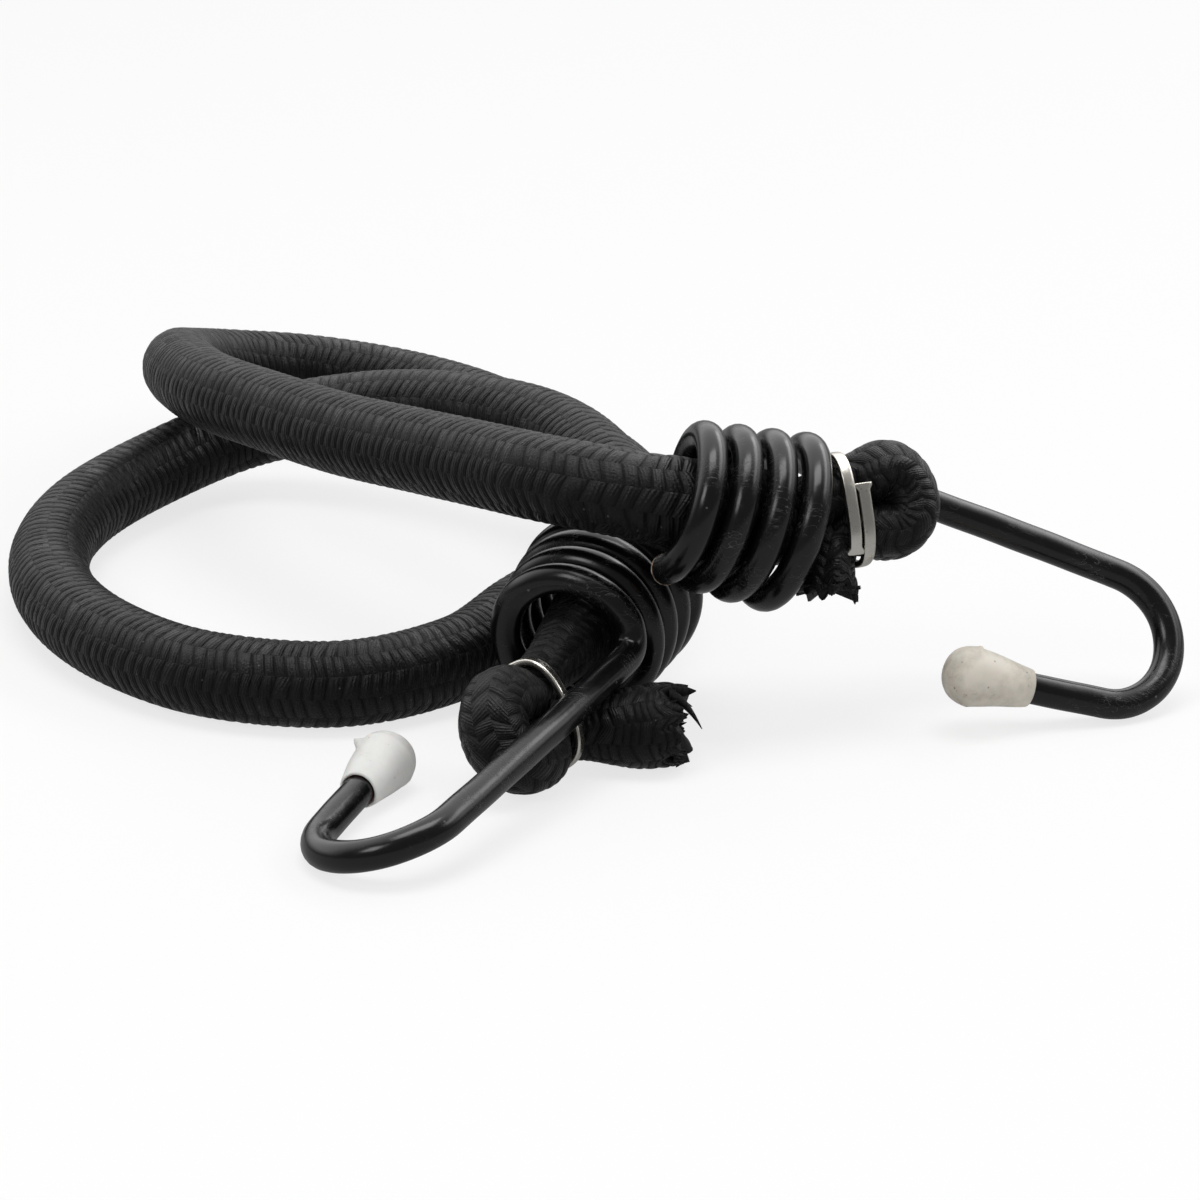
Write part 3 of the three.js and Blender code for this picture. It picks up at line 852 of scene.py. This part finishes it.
# %% Coated wire finish
wire_black, n, shader = finish_of("wire black", Specular_IOR_Level=0.42)
marks = n.use(handling_marks, Place=n.place(), Speck_size=1100.0, Amount=0.25)
worn = n.maths("MAXIMUM", n.times(marks["Scratch"], 0.6), n.times(marks["Specks"], 0.8))
rough = n.maths("ADD", n.between(marks["Smudge"], 0, 1, 0.2, 0.28),
                n.times(marks["Scratch"], 0.2))
ripple = n.noise(n.place(), 420.0, 3.0)
surface(n, shader, n.colours(worn, [(0, (0.0025, 0.0025, 0.003)), (1, (0.09, 0.087, 0.084))]),
        rough, n.maths("SUBTRACT", ripple, n.times(marks["Scratch"], 0.3)), 0.25, 0.12 * MM)
print("finish", wire_black.name)

# %% [markdown]
# Where the wire is cut, a coppery metal shows inside a pale torn rim. The two
# colours meet at a radius, so they are told apart by the face's ring, not by a
# pattern: the outer rings keep one finish and the inner ones the other.

# %% Cut metal and torn rim
cut_copper, n, shader = finish_of("cut copper", Metallic=1.0)
sawn = n.add("ShaderNodeMapping", at0=n.place(), Scale=(1.0, 1.0, 9.0)).outputs[0]
saw = n.noise(sawn, 900.0, 3.0)
surface(n, shader, n.colours(saw, [(0.25, (0.42, 0.2, 0.11)), (0.8, (0.8, 0.5, 0.34))]),
        n.between(saw, 0.3, 0.7, 0.35, 0.6), saw, 0.5, 0.05 * MM)
torn_rim, n, shader = finish_of("torn rim")
flake = n.noise(n.place(), 1600.0, 4.0)
surface(n, shader, n.colours(flake, [(0.35, (0.012, 0.012, 0.013)), (0.6, (0.4, 0.37, 0.33))]),
        n.between(flake, 0.3, 0.7, 0.4, 0.7))
RIM_RINGS = 3
for piece in (right_cut, left_cut):
    piece.data.materials.append(torn_rim)
    piece.data.materials.append(cut_copper)
    for face in piece.data.polygons:
        face.material_index = int(face.index >= RIM_SIDES * RIM_RINGS)
print("finishes", cut_copper.name, "and", torn_rim.name)

# %% [markdown]
# The two caps are the same soft plastic, but one has stayed white and the
# other has yellowed and picked up dirt. One helper makes both, with the clean
# colour, the dirt colour and how much dirt as its values. A little light goes
# into the plastic, so it isn't chalky.


# %% Cap finishes
def cap_finish(name, clean, dirty, amount):
    material, n, shader = finish_of(name, Subsurface_Weight=0.12, Subsurface_Scale=0.0015,
                                    Specular_IOR_Level=0.45)
    place = n.place()
    marks = n.use(handling_marks, Place=place, Speck_size=1300.0, Amount=amount)
    spots = n.maths("MAXIMUM", marks["Specks"], marks["Scratch"])
    dirt = n.maths("ADD", n.times(marks["Smudge"], 0.55 * amount), n.times(spots, 0.7))
    height = n.maths("ADD", n.noise(place, 1500.0, 4.0), n.times(dirt, 0.5))
    surface(n, shader, n.colours(dirt, [(0, clean), (1, dirty)]),
            n.between(dirt, 0, 1, 0.42, 0.7), height, 0.2, 0.08 * MM)
    return material


white_cap = cap_finish("white cap", (0.72, 0.72, 0.7), (0.4, 0.38, 0.34), 0.5)
cream_cap = cap_finish("cream cap", (0.6, 0.56, 0.49), (0.2, 0.17, 0.13), 1.3)
print("finishes", white_cap.name, "and", cream_cap.name)

# %% [markdown]
# The rings are bright plated steel. The plating is whitish and a bit patchy,
# with fine scratches from the pliers. The rubber strands are a dusty tan, which
# is the colour of plain latex.

# %% Ring and rubber finishes
ring_steel, n, shader = finish_of("ring steel", Metallic=1.0)
marks = n.use(handling_marks, Place=n.place(), Speck_size=1600.0, Amount=1.2)
dull = n.maths("ADD", n.times(marks["Smudge"], 0.6), n.times(marks["Specks"], 0.8))
surface(n, shader, n.colours(dull, [(0, (0.66, 0.64, 0.59)), (1, (0.32, 0.3, 0.26))]),
        n.between(dull, 0, 1, 0.24, 0.5),
        n.maths("SUBTRACT", marks["Smudge"], marks["Scratch"]), 0.25, 0.05 * MM)
latex, n, shader = finish_of("latex")
chalk = n.noise(n.place(), 900.0, 4.0)
surface(n, shader, n.colours(chalk, [(0.3, (0.2, 0.165, 0.12)), (0.7, (0.33, 0.28, 0.21))]),
        n.between(chalk, 0.3, 0.7, 0.7, 0.9))
print("finishes", ring_steel.name, "and", latex.name)

# %% [markdown]
# Each piece is listed with its finish, the solid that it stands in for, the slot
# of its material and the body that it moves with. It gets its finish, its solid
# is hidden, and it is attached to its body. The cut ends have their two finishes
# already. Tufts and cut ends stand in for no solid.

# %% Dress the pieces
for piece, finish, cad, part, body in (
        (cord_braid, sheath_black, ["cord_sheath"], "sheath", "cord"),
        (cord_rubber, latex, ["cord_core"], "rubber_core", "cord"),
        (right_knot, knot_black, ["right_fold_sheath"], "sheath", "cord"),
        (left_knot, knot_black, ["left_fold_sheath"], "sheath", "cord"),
        (right_fray, tuft_black, [], "sheath", "cord"),
        (left_fray, tuft_black, [], "sheath", "cord"),
        (right_rubber, latex, ["right_fold_core"], "rubber_core", "cord"),
        (left_rubber, latex, ["left_fold_core"], "rubber_core", "cord"),
        (right_clamp, ring_steel, ["right_ring"], "ring_steel", "cord"),
        (left_clamp, ring_steel, ["left_ring"], "ring_steel", "cord"),
        (right_wire, wire_black, ["right_hook"], "coated_wire", "right_hook_body"),
        (left_wire, wire_black, ["left_hook"], "coated_wire", "left_hook_body"),
        (right_cut, None, [], "coated_wire", "right_hook_body"),
        (left_cut, None, [], "coated_wire", "left_hook_body"),
        (right_soft_cap, cream_cap, ["right_cap"], "right_cap", "right_hook_body"),
        (left_soft_cap, white_cap, ["left_cap"], "left_cap", "left_hook_body")):
    if finish:
        piece.data.materials.append(finish)
    if cad:
        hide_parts(*cad)
    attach(piece, body)
print("pieces dressed")

# %% [markdown]
# The studio is a pale floor under a white sky, with a large soft lamp overhead,
# a long one at the right for the broad shine on both shanks, and one in front
# for the faces of the coils. The camera sees plain white. Shiny surfaces see a
# dim room with a bright screen behind and over the cord, so that black things
# keep their shape. The cord still gets its light from the lamps, and the floor
# keeps its shadow.


# %% Studio
def soft_lamp(name, place, size, watts):
    lamp = bpy.data.lights.new(name, "AREA")
    lamp.shape, lamp.energy = "RECTANGLE", watts
    lamp.size, lamp.size_y = size
    holder = bpy.data.objects.new(name, lamp)
    holder.location = place
    aim(holder, (-0.02, 0.05, 0.01))


def ray_masks(n):
    rays = n.add("ShaderNodeLightPath").outputs
    shiny = rays["Is Glossy Ray"]
    direct = n.maths("ADD", rays["Is Camera Ray"], shiny)
    seen = n.maths("MINIMUM", n.maths("ADD", direct, rays["Is Transmission Ray"]), 1)
    return shiny, seen


soft_lamp("overhead lamp", (0.0, -0.05, 1.0), (0.7, 0.45), 5.2)
soft_lamp("right lamp", (0.72, 0.4, 0.7), (1.5, 0.3), 4.2)
soft_lamp("front lamp", (-0.5, -0.5, 0.6), (0.3, 0.3), 1.5)

floor_mesh = bpy.data.meshes.new("floor")
floor_mesh.from_pydata([(-3, -3, 0), (3, -3, 0), (3, 3, 0), (-3, 3, 0)], [], [(0, 1, 2, 3)])
floor = bpy.data.objects.new("floor", floor_mesh)
bpy.context.scene.collection.objects.link(floor)
floor_pale, n, shader = finish_of("floor pale", Base_Color=(0.82, 0.82, 0.82, 1), Roughness=0.9,
                                  Specular_IOR_Level=0.1)
shiny, seen = ray_masks(n)
white = n.add("ShaderNodeEmission", Strength=n.between(shiny, 0, 1, 1, 0.3))
blend = n.add("ShaderNodeMixShader", at0=n.times(seen, 0.75), at1=shader.outputs[0],
              at2=white.outputs[0])
n.feed(n.tree.nodes["Material Output"], "at0", blend.outputs[0])
floor_mesh.materials.append(floor_pale)

world = bpy.data.worlds.new("studio")
world.use_nodes = True
bpy.context.scene.world = world
n = Nodes(world.node_tree)
shiny, seen = ray_masks(n)
direction = n.add("ShaderNodeTexCoord").outputs["Generated"]
_, back, above = n.add("ShaderNodeSeparateXYZ", at0=direction).outputs
screen = n.times(n.between(back, -0.25, 0.3), n.between(above, 0.08, 0.3))
sky = n.times(shiny, n.times_add(screen, 1.6, -0.8))
background = n.tree.nodes["Background"]
n.feed(background, "Strength", n.maths("ADD", n.between(seen, 0, 1, 0.42, 1.0), sky))
n.feed(background, "Color", (1, 1, 1, 1))
bpy.context.scene.view_settings.view_transform = "Standard"
print("studio with floor, sky and 3 lamps")
